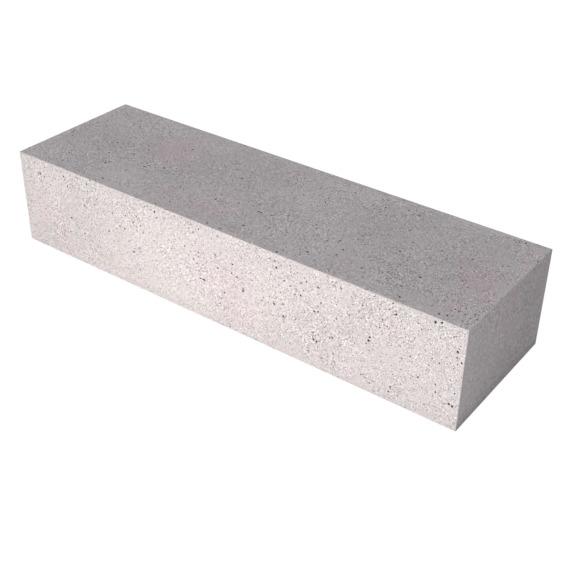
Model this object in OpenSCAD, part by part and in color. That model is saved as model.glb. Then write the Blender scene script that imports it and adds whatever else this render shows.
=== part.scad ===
// Concrete kerb stone
// One block of vibrated precast concrete with a rectangular section and square-cut ends.
// It lies on its bed with its length along X, its front face towards -Y and its top towards +Z.
// The origin is at the middle of the bed. All sizes are in millimetres.

/* [Block] */
// Length along the kerb line, from end to end
kerb_length = 1000; // [250:5:1500]
// Width of the bed and the top, from the front face to the back face
kerb_width = 300; // [80:5:500]
// Height from the bed to the top
kerb_height = 200; // [60:5:500]

/* [Arrises] */
// Radius of the arrises, the edges where two moulded faces meet
arris_radius = 1.5; // [0.5:0.1:12]

/* [Finish] */
// Colour of the cured concrete
concrete_colour = "#C5BDBB"; // [#C5BDBB:Pale grey, #A19C9D:Mid grey, #8B8788:Dark grey]

/* [Hidden] */
$fn = 64;

// A rectangle about the origin with its corners rounded to the arris radius
module arrised_rectangle(across, up) {
    flat_across = across - 2 * arris_radius;
    flat_up = up - 2 * arris_radius;
    square([across, flat_up], center = true);
    square([flat_across, up], center = true);
    for (side = [-1, 1], level = [-1, 1])
        translate([side * flat_across / 2, level * flat_up / 2])
            circle(r = arris_radius);
}

// The cross-section, drawn out along the length
module section_along_length() {
    rotate([90, 0, 90])
        linear_extrude(height = kerb_length, center = true)
            arrised_rectangle(kerb_width, kerb_height);
}

// The front elevation, drawn out through the width
module elevation_through_width() {
    rotate([90, 0, 0])
        linear_extrude(height = kerb_width, center = true)
            arrised_rectangle(kerb_length, kerb_height);
}

// The plan, drawn out through the height
module plan_through_height() {
    linear_extrude(height = kerb_height, center = true)
        arrised_rectangle(kerb_length, kerb_width);
}

// The cast block: what the three outlines have in common, standing on its bed
module kerb_stone() {
    color(concrete_colour)
        translate([0, 0, kerb_height / 2])
            intersection() {
                section_along_length();
                elevation_through_width();
                plan_through_height();
            }
}

kerb_stone();
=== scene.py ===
import math

import bmesh
import bpy
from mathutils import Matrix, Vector


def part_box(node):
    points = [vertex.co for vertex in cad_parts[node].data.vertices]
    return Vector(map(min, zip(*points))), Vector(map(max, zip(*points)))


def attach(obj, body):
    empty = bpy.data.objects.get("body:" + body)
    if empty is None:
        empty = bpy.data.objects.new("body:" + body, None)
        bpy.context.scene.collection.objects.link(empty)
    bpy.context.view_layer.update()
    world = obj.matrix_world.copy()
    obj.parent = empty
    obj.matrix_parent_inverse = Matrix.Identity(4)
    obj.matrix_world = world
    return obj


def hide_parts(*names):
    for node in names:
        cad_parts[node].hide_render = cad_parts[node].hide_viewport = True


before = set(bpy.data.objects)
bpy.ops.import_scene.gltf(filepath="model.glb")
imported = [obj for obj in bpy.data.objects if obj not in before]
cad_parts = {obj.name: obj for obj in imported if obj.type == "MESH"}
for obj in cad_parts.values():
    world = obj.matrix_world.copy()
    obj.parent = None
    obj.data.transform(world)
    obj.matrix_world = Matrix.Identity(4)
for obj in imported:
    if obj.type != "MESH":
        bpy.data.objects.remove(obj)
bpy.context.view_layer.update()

# The moulded block
# The kerb is one pour of stiff concrete, vibrated in a steel mould and struck square.
# Its faces were cast on flat mould plates, and its arrises keep the small radius of the mould's corners.
block_low, block_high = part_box("kerb_stone")
block_middle = (block_low + block_high) / 2
block_size = block_high - block_low
along_axis, across_axis, up_axis = range(3)
arris_radius = 0.0015
arris_steps = 4
field_size = 0.020
cut_tolerance = 1e-7
# A face lies flat on its plate where its normal follows an axis to within this cosine.
flat_enough = 0.9999
# How densely each plate is pored: first by blow holes, then by pin holes.
end_pores = (0.06, 0.3)
front_pores = (0.93, 0.9)
back_pores = (1.0, 1.0)
top_pores = (0.46, 0.75)
bed_pores = (0.3, 0.3)
plate_pores = ((end_pores, end_pores), (front_pores, back_pores), (bed_pores, top_pores))
# Air rises in the shaken mould, so the upright plates are pored more towards their top.
pores_at_foot = 0.3
pores_at_head = 1.7


def cut_places(axis):
    """Where the block is divided across one axis: evenly over the flat, and once more on each arris."""
    flat_start = block_low[axis] + arris_radius
    flat_end = block_high[axis] - arris_radius
    flat_length = flat_end - flat_start
    fields = round(flat_length / field_size)
    places = [flat_start + flat_length * line / fields for line in range(fields + 1)]
    onto_arris = arris_radius * math.tan(math.radians(90.0) / arris_steps)
    return places + [flat_start - onto_arris, flat_end + onto_arris]


def rounded_to_arris(place):
    """The place on the arrised block that a place on the sharp-edged block moves to."""
    inner = Vector(
        min(max(place[axis], block_low[axis] + arris_radius), block_high[axis] - arris_radius)
        for axis in range(3)
    )
    return inner + (place - inner).normalized() * arris_radius


block = bmesh.new()
bmesh.ops.create_cube(block, size=1.0)
for corner in block.verts:
    corner.co = block_middle + corner.co * block_size
for cut_axis in range(3):
    cut_normal = Vector(float(axis == cut_axis) for axis in range(3))
    for cut in cut_places(cut_axis):
        bmesh.ops.bisect_plane(
            block,
            geom=block.verts[:] + block.edges[:] + block.faces[:],
            dist=cut_tolerance,
            plane_co=cut_normal * cut,
            plane_no=cut_normal,
        )
for point in block.verts:
    point.co = rounded_to_arris(point.co)
block.normal_update()

blow_hole_share = block.faces.layers.float.new("blow_hole_share")
pin_hole_share = block.faces.layers.float.new("pin_hole_share")
arris_share = block.faces.layers.float.new("arris_share")
for face in block.faces:
    plate_axis = max(range(3), key=lambda axis: abs(face.normal[axis]))
    if abs(face.normal[plate_axis]) > flat_enough:
        share_up = (face.calc_center_median().z - block_low.z) / block_size.z
        rise = pores_at_foot + (pores_at_head - pores_at_foot) * share_up
        if plate_axis == up_axis:
            rise = 1.0
        outer_side = int(face.normal[plate_axis] > 0.0)
        blow_holes, pin_holes = plate_pores[plate_axis][outer_side]
        face[blow_hole_share] = blow_holes * rise
        face[pin_hole_share] = pin_holes * rise
    else:
        face[arris_share] = 1.0

moulded_mesh = bpy.data.meshes.new("moulded_block")
block.to_mesh(moulded_mesh)
block.free()
moulded_block = bpy.data.objects.new("moulded_block", moulded_mesh)
bpy.context.scene.collection.objects.link(moulded_block)


# The concrete
# Pale grey cement paste with a little pink in it, full of fine sand that shows as salt-and-pepper grain.
# The paste dried in soft clouds, its air pores are darkened with painted shade and some dust, and its foot
# is darkened with painted contact shadow.
concrete = bpy.data.materials.new("pale_concrete")
concrete.use_nodes = True
concrete.node_tree.nodes.clear()
noise_middle = 0.5
noise_roughness = 0.6


def add_node(tree, kind, settings=None, sockets=None):
    """Adds a node, sets its properties, and sets or links its inputs by name or number."""
    node = tree.nodes.new(kind)
    for name, value in (settings or {}).items():
        setattr(node, name, value)
    for name, value in (sockets or {}).items():
        if isinstance(value, bpy.types.NodeSocket):
            tree.links.new(value, node.inputs[name])
        else:
            node.inputs[name].default_value = value
    return node


def shade(kind, settings=None, sockets=None):
    """Adds a node to the concrete."""
    return add_node(concrete.node_tree, kind, settings, sockets)


def reckon(operation, first, second=0.0, third=0.0):
    """One step of arithmetic with numbers."""
    sockets = {0: first, 1: second, 2: third}
    return shade("ShaderNodeMath", {"operation": operation}, sockets).outputs[0]


def vector_reckon(operation, first, second=(0.0, 0.0, 0.0)):
    """One step of arithmetic with vectors."""
    return shade("ShaderNodeVectorMath", {"operation": operation}, {0: first, 1: second}).outputs


coordinates = shade("ShaderNodeTexCoord")
at_block = vector_reckon("SUBTRACT", coordinates.outputs["Object"], block_middle)[0]
facing = coordinates.outputs["Normal"]
plate_shares = vector_reckon("MULTIPLY", facing, facing)[0]


def by_plate(values):
    """One of three values, for the ends, the long sides, or the top and the bed, blended at the arrises."""
    return vector_reckon("DOT_PRODUCT", plate_shares, values)["Value"]


def spread(value, start, end, out_start=0.0, out_end=1.0):
    """A smooth step between two values, taken as the given one goes from start to end."""
    sockets = {"Value": value, 1: start, 2: end, 3: out_start, 4: out_end}
    return shade("ShaderNodeMapRange", {"interpolation_type": "SMOOTHSTEP"}, sockets).outputs[0]


def noise(per_metre, detail, offset):
    """Noise with about this many lumps to the metre, from -0.5 to 0.5."""
    shifted = vector_reckon("ADD", at_block, offset)[0]
    sockets = {"Vector": shifted, "Scale": per_metre, "Detail": detail, "Roughness": noise_roughness}
    lumps = shade("ShaderNodeTexNoise", None, sockets)
    return reckon("SUBTRACT", lumps.outputs["Fac"], noise_middle)


def grains(per_metre):
    """Scattered grains: the distance to the nearest one, in pitches, and that one's random value."""
    cells = shade("ShaderNodeTexVoronoi", {"feature": "F1"}, {"Vector": at_block, "Scale": per_metre})
    chance = shade("ShaderNodeSeparateColor", None, {0: cells.outputs["Color"]})
    return cells.outputs["Distance"], chance.outputs[0]


def blend_colours(share, first, second):
    """The first colour, turning into the second as the share rises to 1."""
    sockets = {0: share, 6: first, 7: second}
    return shade("ShaderNodeMix", {"data_type": "RGBA"}, sockets).outputs[2]


# The depth below the skin of the block, which darkens the pores with painted shade and some dust
pore_rim_depth = 0.0001
pore_full_depth = 0.0007
pore_darkness = 0.96
from_middle = vector_reckon("ABSOLUTE", at_block)[0]
flat_half = block_size / 2 - Vector((arris_radius, arris_radius, arris_radius))
past_flat = vector_reckon("SUBTRACT", from_middle, flat_half)[0]
round_reach = vector_reckon("LENGTH", vector_reckon("MAXIMUM", past_flat)[0])["Value"]
past = shade("ShaderNodeSeparateXYZ", None, {0: past_flat}).outputs
inside = reckon("MINIMUM", reckon("MAXIMUM", reckon("MAXIMUM", past[0], past[1]), past[2]), 0.0)
depth = reckon("SUBTRACT", reckon("SUBTRACT", arris_radius, round_reach), inside)
painted_pore_shade = spread(depth, pore_rim_depth, pore_full_depth, 0.0, pore_darkness)

# The sand, with single dark and light grains in it, stronger in some places than in others
# Values in threes are for the ends, for the long sides, and for the top and the bed.
# Each count of sand puts its plates midway between two steps of the noise, where the noise is liveliest.
sand_per_metre = (231.0, 1110.0, 775.0)
sand_detail = 1.0
sand_offset = (0.0, 0.0, 0.0)
sand_contrast = 2.6
grain_pitch = (0.0034, 0.0020, 0.0034)
grain_rim = 0.55
grain_core = 0.25
grain_share = 0.16
dark_grain = -0.40
light_grain = 0.28
grain_strength = (1.0, 1.5, 1.0)
sandiness_per_metre = 17.0
sandiness_detail = 2.0
sandiness_offset = (7.0, 7.0, 7.0)
sandiness_contrast = 2.4
speckle_strength = (0.40, 1.15, 0.95)
sand = noise(by_plate(sand_per_metre), sand_detail, sand_offset)
grain_distance, grain_chance = grains(by_plate([1.0 / pitch for pitch in grain_pitch]))
grain_spot = spread(grain_distance, grain_rim, grain_core)
dark_tone = reckon("MULTIPLY", reckon("LESS_THAN", grain_chance, grain_share), dark_grain)
light_tone = reckon("MULTIPLY", reckon("GREATER_THAN", grain_chance, 1.0 - grain_share), light_grain)
grain_tone = reckon("MULTIPLY", reckon("ADD", dark_tone, light_tone), by_plate(grain_strength))
speckle = reckon("MULTIPLY_ADD", sand, sand_contrast, reckon("MULTIPLY", grain_spot, grain_tone))
sandiness = noise(sandiness_per_metre, sandiness_detail, sandiness_offset)
sandiness = reckon("MULTIPLY_ADD", sandiness, sandiness_contrast, 1.0)
speckle = reckon("MULTIPLY", speckle, reckon("MULTIPLY", sandiness, by_plate(speckle_strength)))

# The soft clouds that the paste dried in
cloud_size = (0.13, 0.17, 0.17)
cloud_detail = 4.0
cloud_offset = (0.6, 216.0, 254.1)
cloud_strength = (0.42, 0.27, 0.45)
clouds = noise(by_plate([1.0 / size for size in cloud_size]), cloud_detail, by_plate(cloud_offset))
clouds = reckon("MULTIPLY", clouds, by_plate(cloud_strength))
tone = reckon("ADD", reckon("ADD", speckle, clouds), 1.0)

# The foot of the upright plates, darker towards the floor with painted contact shadow
foot_shadow_height = 0.026
foot_shadow_tone = (-0.23, -0.045, 0.0)
level = shade("ShaderNodeSeparateXYZ", None, {0: at_block}).outputs[up_axis]
foot = -block_size.z / 2
foot_shadow_range = {"Value": level, 1: foot, 2: foot + foot_shadow_height, 3: 1.0, 4: 0.0}
painted_foot_shadow = shade("ShaderNodeMapRange", None, foot_shadow_range).outputs[0]
painted_foot_shadow = reckon("MULTIPLY", painted_foot_shadow, by_plate(foot_shadow_tone))
tone = reckon("MULTIPLY_ADD", tone, painted_foot_shadow, tone)

# Pin holes too fine to be cut, drawn as dots of painted shade, wider towards the top of the long sides
pin_hole_pitch = 0.0055
pin_hole_radius = 0.0010
pin_hole_climb = 0.35
pin_hole_darkness = (0.3, 0.66, 0.66)
climb_per_metre = (0.0, 2 * pin_hole_climb / block_size.z, 0.0)
hole_distance, hole_chance = grains(1.0 / pin_hole_pitch)
climb = reckon("MULTIPLY_ADD", level, by_plate(climb_per_metre), 1.0)
hole_reach = reckon("MULTIPLY", hole_chance, pin_hole_radius / pin_hole_pitch)
hole_reach = reckon("MULTIPLY", hole_reach, climb)
pin_hole = reckon("LESS_THAN", hole_distance, hole_reach)
painted_pin_hole_shade = reckon("MULTIPLY", pin_hole, by_plate(pin_hole_darkness))
# Both kinds of hollow take the darker of their two painted shades.
painted_hollow_shade = reckon("MAXIMUM", painted_pore_shade, painted_pin_hole_shade)

# The colour of the paste, greyer and pinker in patches
paste_pink = (0.562, 0.493, 0.519, 1.0)
paste_grey = (0.538, 0.508, 0.5175, 1.0)
# The colour that the pores and pin holes turn to is painted shade in the hollows, with some dust.
hollow_shade_and_dust = (0.018, 0.015, 0.0145, 1.0)
patch_size = 0.16
patch_detail = 4.0
patch_offset = (262.8, 118.2, 279.0)
patch_rim = 0.0
patch_core = 0.16
patch_strength = (1.2, 0.80, 1.0)
patches = spread(noise(1.0 / patch_size, patch_detail, by_plate(patch_offset)), patch_rim, patch_core)
patches = reckon("MULTIPLY", patches, by_plate(patch_strength))
paste = blend_colours(patches, paste_grey, paste_pink)
sanded_paste = shade("ShaderNodeVectorMath", {"operation": "SCALE"}, {0: paste, "Scale": tone}).outputs[0]
# The pores and pin holes are darkened towards painted shade, with some dust.
concrete_colour = blend_colours(painted_hollow_shade, sanded_paste, hollow_shade_and_dust)

# The matt, sandy skin
bump_strength = 0.3
bump_height = 0.0004
sand_reach = 0.4
smoothest_sand = 0.82
roughest_sand = 0.97
specular_level = 0.3
relief = reckon("SUBTRACT", speckle, pin_hole)
bump = shade("ShaderNodeBump", None, {"Strength": bump_strength, "Distance": bump_height, "Height": relief})
roughness = spread(sand, -sand_reach, sand_reach, smoothest_sand, roughest_sand)
surface = shade(
    "ShaderNodeBsdfPrincipled",
    None,
    {
        "Base Color": concrete_colour,
        "Roughness": roughness,
        "Normal": bump.outputs[0],
        "Specular IOR Level": specular_level,
    },
)
shade("ShaderNodeOutputMaterial", None, {"Surface": surface.outputs[0]})


# The pores and the worn arrises
# Air caught against the mould plates leaves rounded hollows, from blow holes down to pin holes.
# The arrises lose small nicks when the block is struck, stacked and carried.
millimetre = 0.001
wide_hole_radius = 0.0023
narrow_hole_radius = 0.0018
top_hole_radius = 0.0021
speck_radius = 0.0016
# The blow holes that show most, in millimetres: along the block from its middle, and below the top.
wide_front_holes = (
    (-445, 32), (-367, 105), (-200, 121), (-139, 14), (-25, 116), (65, 104), (134, 103), (138, 27),
    (218, 141), (225, 143), (327, 95), (329, 88), (443, 9), (454, 5), (482, 151), (486, 46), (488, 153),
)
narrow_front_holes = (
    (-376, 17), (-368, 35), (-220, 78), (-184, 107), (-177, 57), (-135, 25), (-36, 62), (-33, 116),
    (8, 78), (134, 15), (153, 95), (154, 120), (226, 80), (257, 121), (269, 16), (367, 5), (374, 169),
    (375, 23), (423, 125), (495, 64),
)
# The same on the top: along the block from its middle, and forward from the back.
top_holes = (
    (-392, 68), (-375, 151), (-330, 232), (-328, 223), (-325, 49), (-287, 281), (-259, 197), (-235, 82),
    (-225, 178), (-163, 5), (-140, 294), (-79, 120), (-65, 216), (25, 203), (31, 204), (35, 258),
    (100, 100), (134, 294), (175, 262), (198, 199), (219, 220), (219, 241), (262, 40), (275, 95),
    (366, 215), (369, 285), (407, 113), (442, 288), (454, 284), (455, 11),
)
top_specks = (
    (-485, 170), (-472, 183), (-276, 232), (-206, 193), (-148, 218), (-126, 272), (-105, 204), (-46, 26),
    (-40, 68), (-22, 291), (8, 292), (106, 45), (116, 86), (123, 36), (131, 185), (181, 212), (185, 23),
    (193, 253), (198, 50), (228, 149), (304, 58), (353, 120), (355, 257), (372, 74), (399, 48),
    (422, 275), (442, 195), (446, 15), (456, 262), (457, 103), (463, 264), (464, 97), (468, 250),
    (474, 265), (480, 283), (486, 270), (487, 255), (490, 286), (496, 266),
)


def on_front(along, below_top):
    """A place on the front face, from millimetres."""
    reach = Vector((along, 0.0, -below_top)) * millimetre
    return Vector((block_middle.x, block_low.y, block_high.z)) + reach


def on_top(along, from_back):
    """A place on the top, from millimetres."""
    reach = Vector((along, -from_back, 0.0)) * millimetre
    return Vector((block_middle.x, block_high.y, block_high.z)) + reach


placed_holes = [(on_front(*hole), wide_hole_radius) for hole in wide_front_holes]
placed_holes += [(on_front(*hole), narrow_hole_radius) for hole in narrow_front_holes]
placed_holes += [(on_top(*hole), top_hole_radius) for hole in top_holes]
placed_holes += [(on_top(*hole), speck_radius) for hole in top_specks]
placed_mesh = bpy.data.meshes.new("placed_blow_holes")
placed_mesh.from_pydata([hole for hole, radius in placed_holes], [], [])
placed_radius = placed_mesh.attributes.new("pit_radius", "FLOAT", "POINT")
placed_radius.data.foreach_set("value", [radius for hole, radius in placed_holes])
placed_blow_holes = bpy.data.objects.new("placed_blow_holes", placed_mesh)
bpy.context.scene.collection.objects.link(placed_blow_holes)

pitting = bpy.data.node_groups.new("pitting", "GeometryNodeTree")
pitting.interface.new_socket(name="Geometry", in_out="INPUT", socket_type="NodeSocketGeometry")
pitting.interface.new_socket(name="Geometry", in_out="OUTPUT", socket_type="NodeSocketGeometry")
pit_inputs = {
    name: pitting.interface.new_socket(name=name, in_out="INPUT", socket_type=kind).identifier
    for name, kind in {
        "Placed": "NodeSocketObject",
        "Share": "NodeSocketString",
        "Spacing": "NodeSocketFloat",
        "Per Square Metre": "NodeSocketFloat",
        "Patchiness": "NodeSocketFloat",
        "Smallest": "NodeSocketFloat",
        "Largest": "NodeSocketFloat",
        "Rareness": "NodeSocketFloat",
        "Depth": "NodeSocketFloat",
        "Unevenness": "NodeSocketFloat",
        "Fineness": "NodeSocketInt",
        "Seed": "NodeSocketInt",
        "Concrete": "NodeSocketMaterial",
    }.items()
}


def pit(kind, settings=None, sockets=None):
    """Adds a node to the pitting."""
    return add_node(pitting, kind, settings, sockets)


def pit_reckon(operation, first, second=0.0, third=0.0):
    """One step of arithmetic for each pit or place."""
    return pit("ShaderNodeMath", {"operation": operation}, {0: first, 1: second, 2: third}).outputs[0]


def pit_attribute(name):
    """The value of this name that is stored with each pit or place."""
    return pit("GeometryNodeInputNamedAttribute", {"data_type": "FLOAT"}, {"Name": name}).outputs[0]


given = pit("NodeGroupInput").outputs
position = pit("GeometryNodeInputPosition").outputs[0]


def pit_chance(low, high, draw):
    """A random value for each pit, from low to high. Each draw gives values of its own."""
    seed = pit_reckon("ADD", given["Seed"], draw)
    sockets = {2: low, 3: high, "Seed": seed}
    return pit("FunctionNodeRandomValue", {"data_type": "FLOAT"}, sockets).outputs[1]


# Where the pits lie: the placed ones, and others scattered in crowds over the plates
crowds_per_metre = 14.0
crowd_detail = 2.0
size_draw = 1.0
ground = pit_attribute(given["Share"])
drift = pit(
    "ShaderNodeTexNoise",
    {"noise_dimensions": "4D"},
    {"Vector": position, "W": given["Seed"], "Scale": crowds_per_metre, "Detail": crowd_detail},
).outputs["Fac"]
off_middle = pit_reckon("SUBTRACT", drift, noise_middle)
crowding = pit_reckon("MULTIPLY_ADD", off_middle, given["Patchiness"], noise_middle)
crowding = pit("ShaderNodeClamp", None, {0: crowding}).outputs[0]
scatter = pit(
    "GeometryNodeDistributePointsOnFaces",
    {"distribute_method": "POISSON"},
    {
        "Mesh": given["Geometry"],
        "Selection": pit_reckon("GREATER_THAN", ground, 0.0),
        "Distance Min": given["Spacing"],
        "Density Max": given["Per Square Metre"],
        "Density Factor": pit_reckon("MULTIPLY", ground, crowding),
        "Seed": given["Seed"],
    },
)
bare_points = pit(
    "GeometryNodeRemoveAttribute",
    {"pattern_mode": "WILDCARD"},
    {"Geometry": scatter.outputs["Points"], "Name": "*_share"},
)
size_chance = pit_reckon("POWER", pit_chance(0.0, 1.0, size_draw), given["Rareness"])
size_range = {"Value": size_chance, 3: given["Smallest"], 4: given["Largest"]}
scattered = pit(
    "GeometryNodeStoreNamedAttribute",
    {"data_type": "FLOAT", "domain": "POINT"},
    {
        "Geometry": bare_points.outputs[0],
        "Name": "pit_radius",
        "Value": pit("ShaderNodeMapRange", None, size_range).outputs[0],
    },
)
placed = pit("GeometryNodeObjectInfo", None, {"Object": given["Placed"]})
pits = pit("GeometryNodeJoinGeometry")
pitting.links.new(scattered.outputs[0], pits.inputs[0])
pitting.links.new(placed.outputs["Geometry"], pits.inputs[0])

# What each pit is: a bubble sunk halfway into the plate, stretched, turned and made uneven
least_stretch = 0.8
most_stretch = 1.25
stretch_draw = 2.0
spin_draw = 3.0
lumps_per_metre = 300.0
lump_detail = 1.0
outwards = pit(
    "GeometryNodeSampleNearestSurface",
    {"data_type": "FLOAT_VECTOR"},
    {"Mesh": given["Geometry"], "Value": pit("GeometryNodeInputNormal").outputs[0]},
)
upright = pit("FunctionNodeAlignRotationToVector", {"axis": "Z"}, {"Vector": outwards.outputs[0]})
spin = pit("ShaderNodeCombineXYZ", None, {2: pit_chance(0.0, math.tau, spin_draw)})
turned = pit(
    "FunctionNodeRotateRotation",
    {"rotation_space": "LOCAL"},
    {0: upright.outputs[0], 1: pit("FunctionNodeEulerToRotation", None, {0: spin.outputs[0]}).outputs[0]},
)
pit_radius = pit_attribute("pit_radius")
stretch = pit_chance(least_stretch, most_stretch, stretch_draw)
extent = pit(
    "ShaderNodeCombineXYZ",
    None,
    {
        0: pit_reckon("MULTIPLY", pit_radius, stretch),
        1: pit_reckon("DIVIDE", pit_radius, stretch),
        2: pit_reckon("MULTIPLY", pit_radius, given["Depth"]),
    },
)
bubble = pit("GeometryNodeMeshIcoSphere", None, {"Radius": 1.0, "Subdivisions": given["Fineness"]})
bubbles = pit(
    "GeometryNodeInstanceOnPoints",
    None,
    {
        "Points": pits.outputs[0],
        "Instance": bubble.outputs["Mesh"],
        "Rotation": turned.outputs[0],
        "Scale": extent.outputs[0],
    },
)
single_bubbles = pit("GeometryNodeRealizeInstances", None, {0: bubbles.outputs[0]})
bubble_lumps = pit(
    "ShaderNodeTexNoise",
    None,
    {"Vector": position, "Scale": lumps_per_metre, "Detail": lump_detail},
)
ragged = pit(
    "ShaderNodeVectorMath",
    {"operation": "SUBTRACT"},
    {0: bubble_lumps.outputs["Color"], 1: (noise_middle, noise_middle, noise_middle)},
)
unevenness = pit_reckon("MULTIPLY", pit_radius, given["Unevenness"])
shove = pit("ShaderNodeVectorMath", {"operation": "SCALE"}, {0: ragged.outputs[0], "Scale": unevenness})
uneven_bubbles = pit(
    "GeometryNodeSetPosition",
    None,
    {0: single_bubbles.outputs[0], "Offset": shove.outputs[0]},
)
pitted = pit(
    "GeometryNodeMeshBoolean",
    {"operation": "DIFFERENCE", "solver": "MANIFOLD"},
    {0: given["Geometry"], 1: uneven_bubbles.outputs[0]},
)
plain_block = pit("GeometryNodeRealizeInstances", None, {0: pitted.outputs[0]})
finished_block = pit(
    "GeometryNodeSetMaterial",
    None,
    {"Geometry": plain_block.outputs[0], "Material": given["Concrete"]},
)
pit("NodeGroupOutput", None, {0: finished_block.outputs[0]})


def pit_block(name, values):
    """Cuts one kind of pit into the block, with the tree's inputs set to these values."""
    modifier = moulded_block.modifiers.new(name, "NODES")
    modifier.node_group = pitting
    for label, value in values.items():
        modifier[pit_inputs[label]] = value
    modifier[pit_inputs["Concrete"]] = concrete


pit_block(
    "shown_blow_holes",
    {
        "Placed": placed_blow_holes,
        "Per Square Metre": 0.0,
        "Depth": 1.1,
        "Unevenness": 0.9,
        "Fineness": 2,
        "Seed": 3,
    },
)
pit_block(
    "blow_holes",
    {
        "Share": "blow_hole_share",
        "Spacing": 0.010,
        "Per Square Metre": 3600.0,
        "Patchiness": 5.0,
        "Smallest": 0.0011,
        "Largest": 0.0018,
        "Rareness": 2.2,
        "Depth": 1.1,
        "Unevenness": 0.9,
        "Fineness": 2,
        "Seed": 1878,
    },
)
pit_block(
    "pin_holes",
    {
        "Share": "pin_hole_share",
        "Spacing": 0.006,
        "Per Square Metre": 6000.0,
        "Patchiness": 4.0,
        "Smallest": 0.0008,
        "Largest": 0.0014,
        "Rareness": 1.5,
        "Depth": 1.1,
        "Unevenness": 0.5,
        "Fineness": 1,
        "Seed": 1310,
    },
)
pit_block(
    "arris_nicks",
    {
        "Share": "arris_share",
        "Spacing": 0.009,
        "Per Square Metre": 30000.0,
        "Patchiness": 4.0,
        "Smallest": 0.0006,
        "Largest": 0.0024,
        "Rareness": 2.5,
        "Depth": 0.35,
        "Unevenness": 0.8,
        "Fineness": 1,
        "Seed": 21,
    },
)
evaluated = moulded_block.evaluated_get(bpy.context.evaluated_depsgraph_get())
cast_mesh = bpy.data.meshes.new_from_object(evaluated)
cast_mesh.name = "cast_kerb"
bpy.data.objects.remove(moulded_block)
bpy.data.objects.remove(placed_blow_holes)
cast_kerb = bpy.data.objects.new("cast_kerb", cast_mesh)
bpy.context.scene.collection.objects.link(cast_kerb)
for leftover in ("blow_hole_share", "pin_hole_share", "arris_share", "pit_radius"):
    if leftover in cast_mesh.attributes:
        cast_mesh.attributes.remove(cast_mesh.attributes[leftover])

# The plates stay flat, and the arrises and the pits are smooth up to their rims.
rim_angle = math.radians(50.0)
for face in cast_mesh.polygons:
    face.use_smooth = max(abs(part) for part in face.normal) < flat_enough
cast_mesh.set_sharp_from_angle(angle=rim_angle)

# The six plates lie side by side on one flat sheet, each with the pits that are cut into it.
chart_gap = 0.010
pit_reach = 0.003
block_length, block_width, block_height = block_size
top_row = block_width + 2 * chart_gap
front_row = top_row + block_width + chart_gap
back_row = front_row + block_height + chart_gap
end_column = block_length + 2 * chart_gap
sheet_width = end_column + block_height + chart_gap
sheet_height = back_row + block_height + chart_gap
# The axis and side of each plate, the axes that run along and up its chart, and the chart's corner.
charts = (
    (up_axis, -1, along_axis, across_axis, chart_gap, chart_gap),
    (up_axis, 1, along_axis, across_axis, chart_gap, top_row),
    (across_axis, -1, along_axis, up_axis, chart_gap, front_row),
    (across_axis, 1, along_axis, up_axis, chart_gap, back_row),
    (along_axis, -1, up_axis, across_axis, end_column, chart_gap),
    (along_axis, 1, up_axis, across_axis, end_column, top_row),
)


def chart_of(face):
    """The chart of the plate that a face lies nearest, or at an arris the one that it faces most."""

    def off_plate(chart):
        axis, side = chart[:2]
        plate = block_high[axis] if side > 0 else block_low[axis]
        return abs(plate - face.center[axis]) - pit_reach * side * face.normal[axis]

    return min(charts, key=off_plate)


sheet = cast_mesh.uv_layers.new(name="OFBake")
for face in cast_mesh.polygons:
    chart_across, chart_up, left, bottom = chart_of(face)[2:]
    for face_corner in face.loop_indices:
        place = cast_mesh.vertices[cast_mesh.loops[face_corner].vertex_index].co - block_low
        sheet_across = (left + place[chart_across]) / sheet_width
        sheet_up = (bottom + place[chart_up]) / sheet_height
        sheet.uv[face_corner].vector = (sheet_across, sheet_up)

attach(cast_kerb, "root")
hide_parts("kerb_stone")


# The floor
# A plain pale studio floor that the kerb lies on, which reads as white and keeps a faint shadow.
floor_span = 12.0
floor_drop = 0.0003
floor_pale = (0.50, 0.50, 0.50, 1.0)
floor_glow = 1.13
shadow_share = 0.15
white = (1.0, 1.0, 1.0, 1.0)
floor_edge = floor_span / 2
floor_level = block_low.z - floor_drop
floor_corners = (
    (-floor_edge, -floor_edge, floor_level),
    (floor_edge, -floor_edge, floor_level),
    (floor_edge, floor_edge, floor_level),
    (-floor_edge, floor_edge, floor_level),
)
floor_mesh = bpy.data.meshes.new("studio_floor")
floor_mesh.from_pydata(floor_corners, [], [(0, 1, 2, 3)])
floor = bpy.data.objects.new("studio_floor", floor_mesh)
bpy.context.scene.collection.objects.link(floor)
floor_paint = bpy.data.materials.new("studio_floor_paint")
floor_paint.use_nodes = True
floor_tree = floor_paint.node_tree
floor_tree.nodes.clear()


def seen_directly(tree):
    """1 for what the camera sees, also in a reflection or through glass, and 0 for light."""
    path = add_node(tree, "ShaderNodeLightPath").outputs
    seen = path["Is Camera Ray"]
    for ray in ("Is Glossy Ray", "Is Transmission Ray"):
        sockets = {0: seen, 1: path[ray]}
        seen = add_node(tree, "ShaderNodeMath", {"operation": "MAXIMUM"}, sockets).outputs[0]
    return seen


def mix_shaders(tree, share, first, second):
    """The first shader, turning into the second as the share rises to 1."""
    sockets = {0: share, 1: first.outputs[0], 2: second.outputs[0]}
    return add_node(tree, "ShaderNodeMixShader", None, sockets)


matt_floor = add_node(floor_tree, "ShaderNodeBsdfDiffuse", None, {"Color": floor_pale})
bright_floor = add_node(floor_tree, "ShaderNodeEmission", None, {"Color": white, "Strength": floor_glow})
seen_floor = mix_shaders(floor_tree, shadow_share, bright_floor, matt_floor)
floor_look = mix_shaders(floor_tree, seen_directly(floor_tree), matt_floor, seen_floor)
add_node(floor_tree, "ShaderNodeOutputMaterial", None, {0: floor_look.outputs[0]})
floor_mesh.materials.append(floor_paint)


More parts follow.
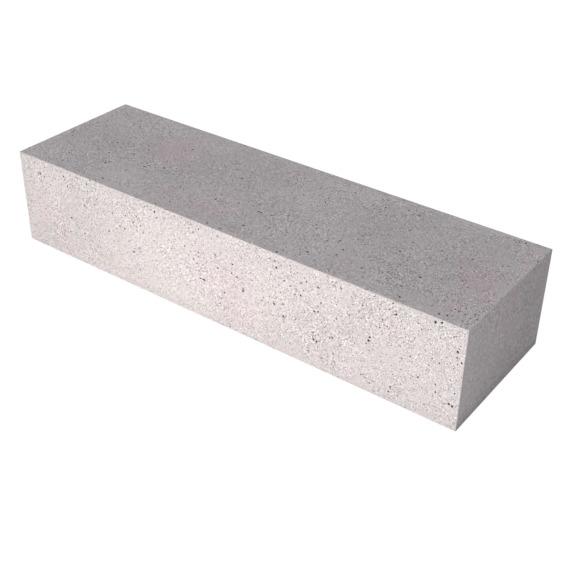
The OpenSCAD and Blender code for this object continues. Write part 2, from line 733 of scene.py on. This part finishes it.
# The studio light
# Soft white light from all round, stronger overhead, and a long soft lamp low in front of the front face.
# A weaker one lights the back, and two small ones the near corner of the right-hand end and the far end.
sky_at_horizon = 0.10
sky_overhead = 0.885
backdrop_level = 1.0
warm_white = (1.0, 0.963, 0.913)
plain_white = (1.0, 1.0, 1.0)
world = bpy.data.worlds.new("studio")
bpy.context.scene.world = world
world.use_nodes = True
sky_tree = world.node_tree
sky_tree.nodes.clear()
direction = add_node(sky_tree, "ShaderNodeTexCoord").outputs["Generated"]
sky_height = add_node(sky_tree, "ShaderNodeSeparateXYZ", None, {0: direction}).outputs[up_axis]
sky_range = {"Value": sky_height, 3: sky_at_horizon, 4: sky_overhead}
sky_level = add_node(sky_tree, "ShaderNodeMapRange", None, sky_range).outputs[0]
sky = add_node(sky_tree, "ShaderNodeBackground", None, {0: white, 1: sky_level})
backdrop = add_node(sky_tree, "ShaderNodeBackground", None, {0: white, 1: backdrop_level})
sky_look = mix_shaders(sky_tree, seen_directly(sky_tree), sky, backdrop)
add_node(sky_tree, "ShaderNodeOutputWorld", None, {0: sky_look.outputs[0]})


def soft_lamp(name, place, target, box_width, box_height, watts, tint):
    """A soft box that lights the target and stays out of the picture."""
    box = bpy.data.lights.new(name, "AREA")
    box.shape = "RECTANGLE"
    box.size = box_width
    box.size_y = box_height
    box.energy = watts
    box.color = tint
    lamp = bpy.data.objects.new(name, box)
    lamp.location = place
    lamp.rotation_euler = (target - place).to_track_quat("-Z", "Y").to_euler()
    lamp.visible_camera = False
    bpy.context.scene.collection.objects.link(lamp)


soft_lamp(
    "front_lamp",
    place=Vector((-0.06, -1.40, 0.08)),
    target=Vector((-0.06, -0.15, 0.08)),
    box_width=1.0,
    box_height=0.14,
    watts=17.35,
    tint=warm_white,
)
soft_lamp(
    "side_lamp",
    place=Vector((0.85, -0.60, 0.28)),
    target=Vector((0.50, -0.12, 0.14)),
    box_width=0.2,
    box_height=0.2,
    watts=0.84,
    tint=plain_white,
)
soft_lamp(
    "back_lamp",
    place=Vector((0.06, 1.40, 0.10)),
    target=Vector((0.06, 0.15, 0.10)),
    box_width=0.85,
    box_height=0.15,
    watts=10.5,
    tint=warm_white,
)
soft_lamp(
    "far_end_lamp",
    place=Vector((-1.60, -0.05, 0.62)),
    target=Vector((-0.50, -0.05, 0.10)),
    box_width=0.4,
    box_height=0.15,
    watts=1.5,
    tint=plain_white,
)


# The camera
# It looks down on the front and the right-hand end, as the photograph does.
# Its angles are in degrees: round to the right, down from level, and over to one side.
camera_place = (1.0123, -1.3230, 1.0936)
camera_turn = 36.554
camera_dip = 33.153
camera_lean = -0.685
level_view = 90.0
camera_angles = (level_view - camera_dip, camera_lean, camera_turn)
camera_data = bpy.data.cameras.new("camera")
camera_data.sensor_width = 36.0
camera_data.lens = 64.62
camera = bpy.data.objects.new("camera", camera_data)
camera.location = camera_place
camera.rotation_euler = [math.radians(angle) for angle in camera_angles]
bpy.context.scene.collection.objects.link(camera)
bpy.context.scene.camera = camera
bpy.context.scene.view_settings.view_transform = "Standard"
